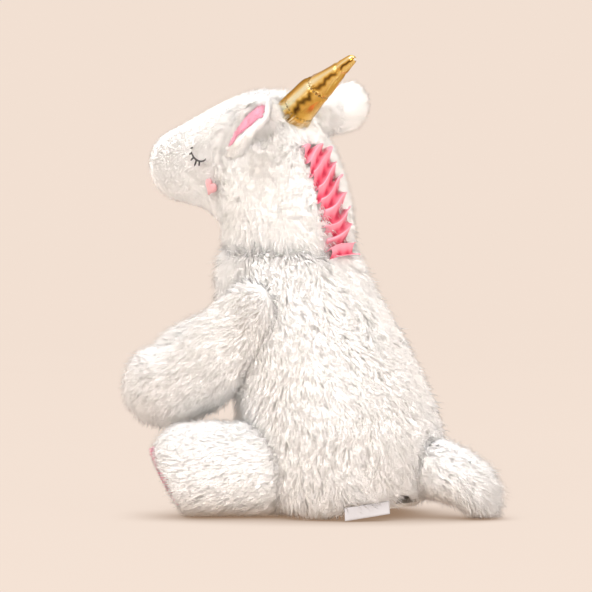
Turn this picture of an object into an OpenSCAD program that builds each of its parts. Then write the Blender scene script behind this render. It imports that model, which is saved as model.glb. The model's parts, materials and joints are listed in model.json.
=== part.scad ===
// Seated plush unicorn, stuffed.  The seat's flat underside is z = 0, and the face looks along -Y.
// Each cover is a thick shell of backing and pile, open at its sewn root, with its stuffing inside.

/* [Torso] */
// Widest radius of the torso, just above the seat
seat_r = 69; // [68:0.5:70]
// Height of the neck seam above the seat
neck_h = 186; // [185:0.5:187]
// How far the neck stands forward of the seat's centre
lean = 41; // [40:0.5:42]
// Radius of the neck at its seam
neck_r = 45; // [44.5:0.5:45.5]

/* [Fabric] */
// Thickness of the plush cover, backing and pile together
cover_t = 7; // [5:0.5:7.5]
// Thickness of the seam allowance around each limb's root
lining_t = 3; // [2:0.5:3.5]
// Gap between parts that move against each other
clear = 0.6; // [0.5:0.1:0.8]
// Gap between a cover and what is inside it
fit = 0.2; // [0.2:0.05:0.4]
// Thickness of felt and satin patches
patch_t = 1; // [0.8:0.1:1.4]

/* [Head] */
// Turn of the head to its own right, as the toy sits
head_turn = 21; // [0:1:24]
// Half width of the skull
skull_w = 44; // [42:0.5:45]
// Radius of the ball that the head turns on
neck_ball_r = 60; // [59:0.5:61]
// Radius of the sewing thread
thread_r = 0.8; // [0.6:0.1:0.9]

/* [Horn] */
// Radius of the horn at its base
horn_r = 11; // [9:0.5:12]
// Length of the horn above the crown
horn_len = 75; // [60:1:78]
// Bend of the horn at its upper gather
horn_bend = 8; // [0:1:10]

/* [Ears] */
// Length of an ear beyond its seam
ear_len = 50; // [44:1:52]
// Width of an ear
ear_w = 38; // [34:1:40]
// Thickness of an ear
ear_t = 10; // [9:0.5:11]
// How far the left ear hangs below level, as it rests
left_ear_droop = 25; // [15:1:30]
// How far the left ear points backwards
left_ear_sweep = 25; // [10:1:28]
// How far the left ear's lining turns upwards
left_ear_twist = 40; // [20:1:45]
// How far the right ear hangs below level, as it rests
right_ear_droop = -10; // [-12:1:5]
// How far the right ear points backwards
right_ear_sweep = 2; // [0:1:10]
// How far the right ear's lining turns upwards
right_ear_twist = 12; // [0:1:20]
// How far an ear swings each way
ear_flop = 20; // [5:1:20]

/* [Arms] */
// Length of an arm from its shoulder to the end of its paw
arm_len = 123; // [118:1:125]
// Half height of an arm at its shoulder
arm_r = 24; // [23:0.5:24.5]
// Radius of a paw
paw_r = 27.5; // [26:0.5:28]
// How far the left arm slopes down, as it rests
left_arm_drop = 36; // [35:1:37]
// How far the right arm slopes down, as it rests
right_arm_drop = 25; // [24:1:27]
// How far the arms turn in
arm_toe_in = 16; // [14:1:18]
// How far an arm lifts
arm_lift = 30; // [10:1:30]
// How far an arm lowers
arm_lower = 1; // [0.5:0.5:1]

/* [Legs] */
// Length of a leg from its hip to its toe
leg_len = 83; // [80:1:85]
// Radius of a leg
leg_r = 34; // [33:0.5:34.5]
// How far each leg points outwards
leg_splay = 23; // [20:1:25]
// How far a leg closes
leg_close = 4; // [1:1:4]
// How far a leg opens
leg_open = 15; // [5:1:15]
// Lean of the sole, which faces forward and down
sole_tilt = 27; // [20:1:30]

/* [Tail] */
// Length of the tail beyond its seam
tail_len = 63; // [56:1:66]
// Radius of the tail at its seam
tail_r = 20; // [18:0.5:21]
// How far the tail wags each way
tail_wag = 25; // [5:1:25]

/* [Trim] */
// Width of the ribbon mane
mane_w = 25; // [20:1:28]
// Number of gathers in the ribbon mane
mane_folds = 8; // [5:1:10]
// Width of a closed eye
eye_w = 18; // [14:1:20]
// Width of a cheek patch
cheek_w = 14; // [10:1:16]
// Length of the seam label
label_len = 32; // [20:1:34]

/* [Hidden] */
far = 200;
around = 24;
dome_steps = 4;

fur = "#f2f0ea";
fibre = "#dcdad2";
pink = "#fa9bb4";
gold = "#cfa03c";
charcoal = "#3a3634";

// Where each limb turns, on the toy's left side
shoulder = [55, -46, 143];
hip = [42, -38, leg_r - 1];
tail_root = [0, 54, 37];
neck_ball = [0, -lean, neck_h - 41];
ear_root = [32, 2, 280];
ear_root_r = 12;

// A station is an oval ring: [y, z, tilt, half width along X, half height].
// At tilt 0 the ring is level and the solid grows upwards; at 90 it is upright and grows along -Y.
torso_stations = [for (s = [
        [0, 0, 0.76], [0.055, 0, 0.915], [0.18, 0, 0.99], [0.33, 0, 1],
        [0.54, 0.27, 0.93], [0.75, 0.73, 0.87], [0.9, 0.95, 0.755]
    ]) [-s[1] * lean, s[0] * neck_h, 0, s[2] * seat_r, s[2] * seat_r],
    [-lean, neck_h + 4, 0, neck_r, neck_r],
    [-lean, neck_h + 22, 0, neck_r - 1, neck_r - 1]
];

// The neck rises level by level, then the rings fan about the throat to face along the muzzle
head_stations = [
    [0, neck_h - 14, 0, neck_r - 2, neck_r],
    [0, neck_h + 4, 0, neck_r - 2, neck_r],
    [-4, neck_h + 26, 22, skull_w - 0.5, 45.5],
    [-13, neck_h + 44.5, 45, skull_w, 47.5],
    [-31, neck_h + 61, 68, skull_w - 0.5, 51.5],
    [-52, neck_h + 61.5, 85, skull_w - 4, 44.3],
    [-70, neck_h + 61, 90, skull_w - 10, 36],
    [-86, neck_h + 60, 90, skull_w - 14, 31],
    [-102, neck_h + 58.5, 90, skull_w - 18, 26.5]
];
muzzle_dome = 22;

// The left arm is bent at its elbow as it rests, and the right one is straight
function arm_stations(bend) = [for (s = [
    [0, 0, 6, 17, arm_r],
    [-27, -4, 8, 18.5, arm_r + 5.5],
    [-54, -7.5, 2, 22, arm_r + 7.5],
    [-76, -6, -12, 25, paw_r + 2.5],
    [32 - arm_len, -0.5, -28, 26.5, paw_r + 3],
    [22 - arm_len, 7, -38, 25, paw_r + 2]
]) [s[0], bend * s[1], 90 + bend * s[2], s[3], s[4]]];
// How far the arm's upper and lower edges open out from its root
arm_flare = 6;
arm_sag = 15;

leg_root_w = 27;
leg_stations = [
    [0, 0, 90, leg_root_w, leg_r],
    [-25, 0, 90, 29, leg_r],
    [-46, 0, 90, 33, leg_r],
    [24 - leg_len, 0, 90, 33, leg_r - 1]
];

tail_stations = [
    [0, 0, 90, tail_r - 1, tail_r + 1],
    [-20, -4, 96, tail_r, tail_r + 1],
    [18 - tail_len, -13, 106, tail_r - 2, tail_r - 2]
];

ear_stations = [
    [0, 0, 90, ear_root_r, ear_t / 2],
    [-14, 0, 90, ear_w / 2 - 3, ear_t / 2],
    [-26, 0, 90, ear_w / 2, ear_t / 2],
    [18 - ear_len, 0, 90, ear_w / 2 - 1, ear_t / 2]
];
ear_dome = 18;

pouch_r = 25;
pouch_z = cover_t + 13;
pouch_stations = [
    [2, pouch_z - 1, 0, pouch_r, pouch_r],
    [2, pouch_z + 1, 0, pouch_r, pouch_r]
];
pouch_dome = 11;

// Distance up the horn of its two gathers, and the horn's rings along its own axis
lower_gather = 10;
upper_gather = 34;
horn_stations = [
    [0, -12, 0, horn_r + 0.5, horn_r + 0.5],
    [0, 0, 0, horn_r, horn_r],
    [0, lower_gather, 0, horn_r - 0.8, horn_r - 0.8],
    [0, upper_gather, -horn_bend / 2, horn_r - 3, horn_r - 3],
    [sin(horn_bend) * (horn_len - upper_gather - 3), horn_len - 3, -horn_bend, 2.6, 2.6]
];

// A point at fraction t between b and c on a smooth curve through a, b, c and d
function blend_at(a, b, c, d, t) =
    0.5 * (2 * b + (c - a) * t + (2 * a - 5 * b + 4 * c - d) * t * t
        + (3 * b - a - 3 * c + d) * t * t * t);

// The station at place s along a list of stations, where 0 is the first
function station_at(list, s) =
    let (i = min(floor(s), len(list) - 2), last = len(list) - 1)
    blend_at(list[max(i - 1, 0)], list[i], list[i + 1], list[min(i + 2, last)], s - i);

// Stations along the whole list, two to each given one
function smooth(list) = [for (s = [0 : 0.5 : len(list) - 1]) station_at(list, s)];

// The station past an end at angle a of its dome, which stands out by length
function dome_at(s, length, a) = [
    s[0] - length * sin(a) * sin(s[2]), s[1] + length * sin(a) * cos(s[2]), s[2],
    s[3] * cos(a), s[4] * cos(a)
];

// The station made smaller all round by d
function shrunk(s, d) = [s[0], s[1], s[2], s[3] - d, s[4] - d];

function ring(s) = [for (k = [0 : around - 1])
    let (a = 360 * k / around)
    [s[3] * cos(a), s[0] + s[4] * sin(a) * cos(s[2]), s[1] + s[4] * sin(a) * sin(s[2])]
];

// A smooth solid through stations, all of it inset by d, with a dome of the given length at each end.
// A length of 0 leaves that end flat.
module blob(list, start, end, d = 0) {
    body = [for (s = smooth(list)) shrunk(s, d)];
    steps = [for (k = [1 : dome_steps]) 90 * k / (dome_steps + 0.3)];
    low = start == 0 ? [] : [for (k = [dome_steps - 1 : -1 : 0]) dome_at(body[0], d - start, steps[k])];
    last = body[len(body) - 1];
    high = end == 0 ? [] : [for (a = steps) dome_at(last, end - d, a)];
    rings = [for (s = concat(low, body, high)) ring(s)];
    n = len(rings);
    sides = [for (i = [0 : n - 2]) for (k = [0 : around - 1])
        let (a = i * around + k, b = i * around + (k + 1) % around)
        each [[a, a + around, b + around], [a, b + around, b]]
    ];
    caps = [
        [for (k = [0 : around - 1]) k],
        [for (k = [around - 1 : -1 : 0]) (n - 1) * around + k]
    ];
    polyhedron([for (r = rings) each r], concat(sides, caps));
}

// The space that a limb sweeps about its root, which is on the Z axis; the limb lies along -Y at rest
module swing_room(root_r, half_w, below, above, low, high, grow = 0) {
    g = clear + grow;
    mid = (low + high) / 2;
    translate([0, 0, -below - g])
        linear_extrude(below + above + 2 * g) {
            circle(root_r + g, $fn = 64);
            polygon([
                turned([-half_w - g, 0], low), turned([-half_w - g, -far], low),
                turned([0, -far * 1.2], mid),
                turned([half_w + g, -far], high), turned([half_w + g, 0], high)
            ]);
        }
}

function turned(p, a) = [p[0] * cos(a) - p[1] * sin(a), p[0] * sin(a) + p[1] * cos(a)];

// Draws on the toy's left, or mirrored on its right
module on_side(side) {
    if (side > 0)
        children();
    else
        mirror([1, 0, 0]) children();
}

module at_arm(side) {
    drop = side > 0 ? left_arm_drop : right_arm_drop;
    on_side(side) translate(shoulder) rotate([0, 0, -arm_toe_in]) rotate([drop, 0, 0]) children();
}

module at_leg(side) {
    on_side(side) translate(hip) rotate([0, 0, leg_splay]) children();
}

module at_tail() {
    translate(tail_root) rotate([0, 0, 180]) children();
}

module at_head() {
    translate([0, -lean, 0]) rotate([0, 0, -head_turn]) children();
}

module at_ear(side) {
    droop = side > 0 ? left_ear_droop : right_ear_droop;
    sweep = side > 0 ? left_ear_sweep : right_ear_sweep;
    twist = side > 0 ? left_ear_twist : right_ear_twist;
    at_head() on_side(side) translate(ear_root) rotate([0, 0, sweep])
        rotate([0, droop, 0]) rotate([90 - twist, 0, 0]) rotate([0, 0, 90]) children();
}

// The horn's root, on the back of the crown, with the horn along Z
module at_horn() {
    at_head() translate([0, 3, 278]) rotate([-53, 0, 0]) children();
}

// Rooms in the torso for the arms, legs and tail, each grown for the seam allowance around it
module limb_rooms(grow = 0) {
    for (side = [-1, 1]) {
        at_arm(side) rotate([0, 90, 0])
            swing_room(arm_r, arm_r + 3, 22, 60, -arm_lift - arm_flare, arm_lower + arm_sag, grow);
        at_leg(side)
            swing_room(leg_root_w, leg_root_w + 2, 60, leg_r, -leg_close, leg_open, grow);
    }
    at_tail()
        swing_room(tail_r - 1, tail_r, tail_r + 3, tail_r + 1, -tail_wag, tail_wag, grow);
}

// Everything below the neck seam, with a ball-shaped top
module under_neck() {
    translate([0, 0, neck_h / 2 - 6]) cube([far, far, neck_h], center = true);
    translate(neck_ball) sphere(neck_ball_r, $fn = 96);
}

module torso_space(d, grow) {
    difference() {
        intersection() {
            blob(torso_stations, 0, 0, d);
            if (d == 0)
                under_neck();
            else
                translate([0, 0, d + far]) cube(2 * far, center = true);
        }
        limb_rooms(grow);
    }
}

module torso_cover() {
    color(fur) difference() {
        torso_space(0, 0);
        torso_space(cover_t, lining_t);
        thread_ring(thread_r + clear / 2);
    }
}

module torso_stuffing() {
    color(fibre) difference() {
        intersection() {
            torso_space(cover_t + fit, lining_t + fit);
            under_neck();
        }
        blob(pouch_stations, pouch_dome, pouch_dome, -fit);
        translate([0, pouch_stations[0][0], 0]) cylinder(h = pouch_z, r = pouch_r - 3, $fn = 64);
    }
}

module pellet_pouch() {
    color("#c9b68f") blob(pouch_stations, pouch_dome, pouch_dome);
}

module side_label() {
    seam_r = seat_r * 0.93;
    color("white") rotate([0, 0, 40]) translate([seam_r, 0, 5.2]) rotate([0, -8, 0])
        cube([0.8, label_len, 10], center = true);
}

module thread_ring(r) {
    ball = neck_ball_r - thread_r;
    ring_r = neck_r - 4;
    translate(neck_ball) translate([0, 0, sqrt(ball * ball - ring_r * ring_r)])
        rotate_extrude($fn = 96) translate([ring_r, 0]) circle(r, $fn = 24);
}

module neck_thread() {
    color(fibre) thread_ring(thread_r);
}

module head_solid(d) {
    at_head() blob(head_stations, 0, muzzle_dome, d);
}

module above_neck() {
    translate(neck_ball) sphere(neck_ball_r + clear + 0.2, $fn = 96);
}

module ear_rooms(grow = 0) {
    for (side = [-1, 1])
        at_ear(side)
            swing_room(ear_root_r, ear_w / 2 - 3, ear_t / 2, ear_t / 2, -ear_flop, ear_flop, grow);
}

module head_cover() {
    color(fur) difference() {
        head_solid(0);
        difference() {
            head_solid(cover_t);
            ear_rooms(lining_t);
        }
        ear_rooms();
        above_neck();
    }
}

module head_stuffing() {
    color(fibre) difference() {
        head_solid(cover_t + fit);
        ear_rooms(lining_t + fit);
        above_neck();
    }
}

module horn_cover() {
    color(gold) difference() {
        at_horn() blob(horn_stations, 0, 2.5);
        at_horn() blob(horn_stations, 0, 2.5, patch_t);
        head_solid(-fit);
        at_horn() horn_rings(thread_r);
    }
}

module horn_stuffing() {
    color(fibre) difference() {
        at_horn() blob(horn_stations, 0, 2.5, patch_t + fit);
        head_solid(-fit);
    }
}

module horn_rings(r) {
    translate([0, 0, lower_gather])
        rotate_extrude($fn = 64) translate([horn_r - 0.6, 0]) circle(r, $fn = 24);
    translate([0, 0, upper_gather]) rotate([-horn_bend / 2, 0, 0])
        rotate_extrude($fn = 64) translate([horn_r - 2.8, 0]) circle(r, $fn = 24);
}

module horn_thread() {
    color("#8f6a22") at_horn() horn_rings(thread_r - fit);
}

// A point on the back of the head's outline, out from it by d
function nape(s, d) =
    let (p = station_at(head_stations, s), q = station_at(head_stations, s + 0.05))
    let (out = d + p[4])
    [p[0] + out * cos(p[2]), p[1] + out * sin(p[2])];

module mane_ribbon() {
    low = 0.95;
    high = 2.75;
    span = (high - low) / (2 * mane_folds);
    ridges = [for (k = [0 : 2 * mane_folds]) nape(low + k * span, k % 2 == 0 ? 2.5 : 6)];
    base = [for (k = [2 * mane_folds : -1 : 0]) nape(low + k * span, 0.5)];
    color(pink) at_head() rotate([90, 0, 90])
        linear_extrude(mane_w, center = true) polygon(concat(ridges, base));
}

// A flat shape drawn on the side of the head, as a patch that lies on the cover
module on_face(side, at, t) {
    intersection() {
        difference() {
            at_head() on_side(side) translate([20, at[0], at[1]]) rotate([90, 0, 90])
                linear_extrude(60) children();
            head_solid(-fit);
        }
        head_solid(-fit - t);
    }
}

// A closed eye: a downward arc with lashes at its front
module eye(side) {
    arc_r = eye_w * 0.625;
    color(charcoal) on_face(side, [-43, neck_h + 62], patch_t) {
        translate([0, arc_r - 4.5]) difference() {
            circle(arc_r + 0.6, $fn = 48);
            circle(arc_r - 0.6, $fn = 48);
            translate([-far / 2, 4.5 - arc_r]) square(far);
            translate([-far / 2, 4.5 - arc_r + 0.6]) square(far);
        }
        for (a = [-125, -145, -165])
            translate([0, arc_r - 4.5]) rotate(a) translate([arc_r, -0.5]) square([4, 1]);
    }
}

module cheek(side) {
    w = cheek_w;
    color(pink) on_face(side, [-33, neck_h + 44], patch_t) {
        for (s = [-1, 1])
            translate([s * w / 4, w / 8]) circle(w / 4 + 0.4, $fn = 32);
        polygon([[-w / 2, w / 16], [0, -w / 2], [w / 2, w / 16], [0, w / 4]]);
    }
}

module left_eye() { eye(1); }
module right_eye() { eye(-1); }
module left_cheek() { cheek(1); }
module right_cheek() { cheek(-1); }

module ear_back(side) {
    color(fur) at_ear(side) blob(ear_stations, ear_root_r, ear_dome);
}

module ear_lining(side) {
    color(pink) at_ear(side) difference() {
        translate([0, -7, ear_t / 2]) blob([for (s = ear_stations)
            [s[0] * 0.72, 0, s[2], s[3] * 0.7, 1.6]], 4, 12);
        blob(ear_stations, ear_root_r, ear_dome, -fit);
    }
}

module left_ear_back() { ear_back(1); }
module right_ear_back() { ear_back(-1); }
module left_ear_lining() { ear_lining(1); }
module right_ear_lining() { ear_lining(-1); }

module arm_space(side, d) {
    blob(arm_stations(side > 0 ? 1 : 0), arm_r, 24, d);
}

// The opening on the inner side of an arm's root, where it is sewn to the torso
module arm_opening(d) {
    rotate([0, -90, 0]) cylinder(h = far, r = arm_r / 2 - d, $fn = 48);
}

module arm_cover(side) {
    color(fur) at_arm(side) difference() {
        arm_space(side, 0);
        arm_space(side, cover_t);
        arm_opening(0);
    }
}

module arm_stuffing(side) {
    color(fibre) at_arm(side) {
        arm_space(side, cover_t + fit);
        intersection() {
            arm_space(side, 0);
            arm_opening(fit);
        }
    }
}

module left_arm_cover() { arm_cover(1); }
module right_arm_cover() { arm_cover(-1); }
module left_arm_stuffing() { arm_stuffing(1); }
module right_arm_stuffing() { arm_stuffing(-1); }

module leg_space(d) {
    blob(leg_stations, leg_root_w + (d == 0 ? 0 : 2 * d), 24, d);
}

// Everything behind a plane that leans with the sole, moved back by d
module behind_sole(d) {
    translate([0, 12 - leg_len, -6]) rotate([sole_tilt, 0, 0]) translate([0, far / 2 + d, 0])
        cube(far, center = true);
}

// Everything above the surface that the toy sits on, raised by d
module above_floor(d) {
    translate([0, 0, far / 2 - hip[2] + d]) cube(far, center = true);
}

module leg_cover(side) {
    color(fur) at_leg(side) difference() {
        intersection() {
            leg_space(0);
            behind_sole(0);
            above_floor(0);
        }
        intersection() {
            leg_space(cover_t);
            behind_sole(cover_t);
        }
        intersection() {
            leg_space(cover_t - 1 - fit);
            difference() {
                behind_sole(-1);
                behind_sole(patch_t + fit);
            }
        }
    }
}

module leg_stuffing(side) {
    color(fibre) at_leg(side) intersection() {
        leg_space(0);
        leg_space(cover_t + fit);
        behind_sole(cover_t + fit);
    }
}

module sole(side) {
    color(pink) at_leg(side) intersection() {
        leg_space(cover_t - 1);
        difference() {
            behind_sole(0);
            behind_sole(patch_t);
        }
    }
}

module left_leg_cover() { leg_cover(1); }
module right_leg_cover() { leg_cover(-1); }
module left_leg_stuffing() { leg_stuffing(1); }
module right_leg_stuffing() { leg_stuffing(-1); }
module left_sole() { sole(1); }
module right_sole() { sole(-1); }

module tail_space(d) {
    blob(tail_stations, tail_r - 1 + (d == 0 ? 0 : 2 * d), 18, d);
}

module tail_cover() {
    color(fur) at_tail() difference() {
        tail_space(0);
        tail_space(cover_t);
    }
}

module tail_stuffing() {
    color(fibre) at_tail() intersection() {
        tail_space(0);
        tail_space(cover_t + fit);
    }
}

torso_cover();
torso_stuffing();
pellet_pouch();
side_label();
neck_thread();
head_cover();
head_stuffing();
horn_cover();
horn_stuffing();
horn_thread();
mane_ribbon();
left_eye();
right_eye();
left_cheek();
right_cheek();
left_ear_back();
left_ear_lining();
right_ear_back();
right_ear_lining();
left_arm_cover();
left_arm_stuffing();
right_arm_cover();
right_arm_stuffing();
left_leg_cover();
left_leg_stuffing();
left_sole();
right_leg_cover();
right_leg_stuffing();
right_sole();
tail_cover();
tail_stuffing();
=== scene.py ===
"""The looks of the plush unicorn: fur, ribbon, horn, face, soles and label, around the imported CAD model.

Metres, in the CAD model's own frame: +Z up, the body faces -Y, and +X is the toy's left.
"""

import json
import math

import bmesh
import bpy
import numpy as np
from mathutils import Matrix, Vector
from mathutils.bvhtree import BVHTree
from mathutils.noise import noise_vector, seed_set

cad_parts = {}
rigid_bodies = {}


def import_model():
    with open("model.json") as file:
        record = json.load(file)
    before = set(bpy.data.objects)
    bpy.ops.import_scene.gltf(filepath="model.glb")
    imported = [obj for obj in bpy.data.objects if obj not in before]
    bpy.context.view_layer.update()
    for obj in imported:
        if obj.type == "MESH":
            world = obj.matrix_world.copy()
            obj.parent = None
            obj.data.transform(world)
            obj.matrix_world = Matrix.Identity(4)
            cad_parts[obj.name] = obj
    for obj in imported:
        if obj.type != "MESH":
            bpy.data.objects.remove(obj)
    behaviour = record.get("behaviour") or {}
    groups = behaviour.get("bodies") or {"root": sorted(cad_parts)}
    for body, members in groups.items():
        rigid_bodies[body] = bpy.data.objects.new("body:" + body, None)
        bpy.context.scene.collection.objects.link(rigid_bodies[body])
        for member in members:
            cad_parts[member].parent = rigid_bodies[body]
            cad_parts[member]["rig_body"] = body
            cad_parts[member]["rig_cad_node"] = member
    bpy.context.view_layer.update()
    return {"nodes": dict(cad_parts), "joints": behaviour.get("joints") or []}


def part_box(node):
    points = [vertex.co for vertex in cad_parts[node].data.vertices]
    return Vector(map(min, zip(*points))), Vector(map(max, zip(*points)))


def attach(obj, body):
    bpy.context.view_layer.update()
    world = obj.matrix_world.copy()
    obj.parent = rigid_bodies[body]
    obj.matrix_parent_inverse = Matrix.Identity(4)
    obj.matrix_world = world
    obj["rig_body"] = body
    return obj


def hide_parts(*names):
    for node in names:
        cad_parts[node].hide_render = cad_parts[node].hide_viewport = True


MM = 0.001
UP = np.array([0.0, 0.0, 1.0])

# Blender seeds this noise from the clock unless it is told otherwise
NOISE_SEED = 7
seed_set(NOISE_SEED)

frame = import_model()
NODES = frame["nodes"]
JOINTS = {j["name"]: j for j in frame["joints"]}

# ---------------------------------------------------------------- directions that the head has

NECK_BALL = np.array(JOINTS["neck_nod"]["pos_m"])
HEAD_LEFT = np.array(JOINTS["neck_nod"]["axis"])
HEAD_LEFT /= np.linalg.norm(HEAD_LEFT)
HEAD_BACK = np.cross(UP, HEAD_LEFT)


# ---------------------------------------------------------------- small helpers


def unit(a):
    """The rows of a, each made one long."""
    return a / np.maximum(np.linalg.norm(a, axis=-1, keepdims=True), 1e-12)


def coords(obj):
    """The object's vertices as rows of x, y, z."""
    co = np.empty(len(obj.data.vertices) * 3)
    obj.data.vertices.foreach_get("co", co)
    return co.reshape(-1, 3)


def set_coords(obj, co):
    obj.data.vertices.foreach_set("co", np.ascontiguousarray(co, float).ravel())
    obj.data.update()


def new_object(name, mesh, material):
    obj = bpy.data.objects.new(name, mesh)
    bpy.context.scene.collection.objects.link(obj)
    obj.data.materials.append(material)
    return obj


def mesh_object(name, verts, faces, material, smooth=True):
    mesh = bpy.data.meshes.new(name)
    mesh.from_pydata([tuple(v) for v in verts], [], [tuple(f) for f in faces])
    mesh.validate()
    mesh.update()
    if smooth:
        mesh.shade_smooth()
    return new_object(name, mesh, material)


def apply_modifiers(obj):
    """Leaves the object as the plain mesh that its modifiers make of it."""
    dg = bpy.context.evaluated_depsgraph_get()
    mesh = bpy.data.meshes.new_from_object(obj.evaluated_get(dg))
    old = obj.data
    obj.modifiers.clear()
    obj.data = mesh
    bpy.data.meshes.remove(old)


def grid_faces(rows, cols):
    """The faces of an open sheet with cols points in each of its rows."""
    return [(i * cols + j, i * cols + j + 1, (i + 1) * cols + j + 1, (i + 1) * cols + j)
            for i in range(rows - 1) for j in range(cols - 1)]


def ring_faces(rings, n):
    """The faces of a closed skin over rings of n points, with a cap at both ends."""
    faces = [(k * n + j, k * n + (j + 1) % n, (k + 1) * n + (j + 1) % n, (k + 1) * n + j)
             for k in range(rings - 1) for j in range(n)]
    return faces + [tuple((rings - 1) * n + j for j in range(n)), tuple(reversed(range(n)))]


def thicken(obj, thickness, offset=0, subdivide=False):
    """Makes a sheet a cloth of some thickness, and rounds its folds if asked."""
    solid = obj.modifiers.new("Thick", "SOLIDIFY")
    solid.thickness = thickness
    solid.offset = offset
    if subdivide:
        soft = obj.modifiers.new("Soft", "SUBSURF")
        soft.levels = soft.render_levels = 1
    apply_modifiers(obj)


def flat_axes(points):
    """A flat piece's long way, its wide way and the way that it faces."""
    return np.linalg.svd(points - points.mean(0), full_matrices=False)[2]


def bvh(obj):
    return BVHTree.FromPolygons([v.co for v in obj.data.vertices], [p.vertices for p in obj.data.polygons])


def noise_at(points, scale):
    """Smooth noise vectors at the points, which change over about scale metres."""
    return np.array([noise_vector(Vector(p / scale)) for p in points])


# ---------------------------------------------------------------- materials


class Shader:
    """A material's node tree, with its Principled shader."""

    def __init__(self, name, **values):
        self.material = bpy.data.materials.new(name)
        self.material.use_nodes = True
        self.tree = self.material.node_tree
        self.bsdf = self.tree.nodes["Principled BSDF"]
        for key, value in values.items():
            self.bsdf.inputs[key.replace("_", " ")].default_value = value

    def node(self, kind, **values):
        n = self.tree.nodes.new(kind)
        for key, value in values.items():
            if key in n.inputs:
                n.inputs[key].default_value = value
            else:
                setattr(n, key, value)
        return n

    def link(self, a, out, b, into):
        self.tree.links.new(a.outputs[out], b.inputs[into])

    def ramp(self, source, out, stops):
        """A colour ramp driven by an output. stops are (place, colour) pairs."""
        r = self.node("ShaderNodeValToRGB")
        elements = r.color_ramp.elements
        while len(elements) < len(stops):
            elements.new(0.5)
        for element, (place, colour) in zip(elements, stops):
            element.position = place
            element.color = (*colour, 1)
        self.link(source, out, r, "Fac")
        return r

    def bump(self, source, out, strength, distance):
        b = self.node("ShaderNodeBump", Strength=strength, Distance=distance)
        self.link(source, out, b, "Height")
        self.link(b, "Normal", self.bsdf, "Normal")

    def noise(self, scale, detail=3.0):
        place = self.node("ShaderNodeTexCoord")
        n = self.node("ShaderNodeTexNoise", Scale=scale, Detail=detail)
        self.link(place, "Object", n, "Vector")
        return n


def let_light_through(s, scatter):
    """Light passes from fibre to fibre, which keeps white pile white between its tufts."""
    s.bsdf.subsurface_method = "BURLEY"
    s.bsdf.inputs["Subsurface Weight"].default_value = 0.9
    s.bsdf.inputs["Subsurface Radius"].default_value = (1.0, 1.0, 1.0)
    s.bsdf.inputs["Subsurface Scale"].default_value = scatter


def fur_material(name, root, tip, scatter=3 * MM):
    """Pile with painted shade at its roots: its colour is drawn darker there, where the fibres shade one
    another. The OFBake map runs from root to tip along V.
    """
    s = Shader(name, Roughness=0.9, Sheen_Weight=0.15, Sheen_Roughness=0.5)
    s.bsdf.inputs["Sheen Tint"].default_value = (*tip, 1)
    s.bsdf.inputs["Specular IOR Level"].default_value = 0.05
    let_light_through(s, scatter)
    uv = s.node("ShaderNodeUVMap", uv_map="OFBake")
    split = s.node("ShaderNodeSeparateXYZ")
    s.link(uv, "UV", split, "Vector")
    shade = s.ramp(split, "Y", [(0.0, root), (0.55, tip), (1.0, tip)])
    s.link(shade, "Color", s.bsdf, "Base Color")
    return s.material


def backing_material(name, colour):
    """The knitted backing that shows between the roots of the pile."""
    s = Shader(name, Roughness=0.95, Sheen_Weight=0.2)
    let_light_through(s, 4 * MM)
    low = tuple(c * 0.97 for c in colour)
    n = s.noise(900)
    s.link(s.ramp(n, "Fac", [(0.3, low), (0.7, colour)]), "Color", s.bsdf, "Base Color")
    s.bump(n, "Fac", 0.4, 0.0004)
    return s.material


def felt_material(name, colour):
    s = Shader(name, Roughness=0.9, Sheen_Weight=0.6, Sheen_Roughness=0.4)
    low = tuple(c * 0.82 for c in colour)
    n = s.noise(1500, 4.0)
    s.link(s.ramp(n, "Fac", [(0.3, low), (0.65, colour)]), "Color", s.bsdf, "Base Color")
    s.bump(n, "Fac", 0.5, 0.0005)
    return s.material


def satin_material():
    """Pink satin ribbon: painted light and shade from the fold attribute, deep red in the creases between
    folds and palest on their crests, and a fine cross weave.
    """
    s = Shader("pink_ribbon", Roughness=0.6, Sheen_Weight=0.1)
    s.bsdf.inputs["Specular IOR Level"].default_value = 0.3
    fold = s.node("ShaderNodeAttribute", attribute_name="fold")
    shade = s.ramp(fold, "Fac", [(0.0, (0.55, 0.02, 0.08)), (0.25, (0.86, 0.16, 0.25)),
                                 (0.5, (0.95, 0.32, 0.42)), (1.0, (0.98, 0.42, 0.52))])
    s.link(shade, "Color", s.bsdf, "Base Color")
    place = s.node("ShaderNodeTexCoord")
    weave = s.node("ShaderNodeTexWave", Scale=1400.0, Distortion=0.6)
    s.link(place, "Object", weave, "Vector")
    s.bump(weave, "Fac", 0.15, 0.0002)
    return s.material


def gold_material():
    """Metal-coated cloth with fine crinkles, coloured from a per-vertex attribute that holds its gold tone
    with painted reflections: a pale highlight streak and dark streaks.
    """
    s = Shader("gold_fabric", Roughness=0.22, Metallic=1.0)
    crinkle = s.noise(160)
    tone = s.node("ShaderNodeAttribute", attribute_name="gold_tone_and_reflections")
    s.link(s.ramp(tone, "Fac", [(0.0, (0.10, 0.045, 0.01)), (0.25, (0.35, 0.18, 0.03)),
                                (0.5, (0.66, 0.38, 0.07)), (0.75, (0.95, 0.68, 0.25)),
                                (1.0, (1.0, 0.95, 0.65))]), "Color", s.bsdf, "Base Color")
    s.bump(crinkle, "Fac", 0.12, 0.0006)
    return s.material


def thread_material(name, colour):
    s = Shader(name, Roughness=0.6, Sheen_Weight=0.2)
    place = s.node("ShaderNodeTexCoord")
    twist = s.node("ShaderNodeTexWave", Scale=2500.0, bands_direction="DIAGONAL")
    s.link(place, "Object", twist, "Vector")
    low = tuple(c * 0.6 for c in colour)
    s.link(s.ramp(twist, "Fac", [(0.2, low), (0.8, colour)]), "Color", s.bsdf, "Base Color")
    s.bump(twist, "Fac", 0.4, 0.0003)
    return s.material


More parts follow.
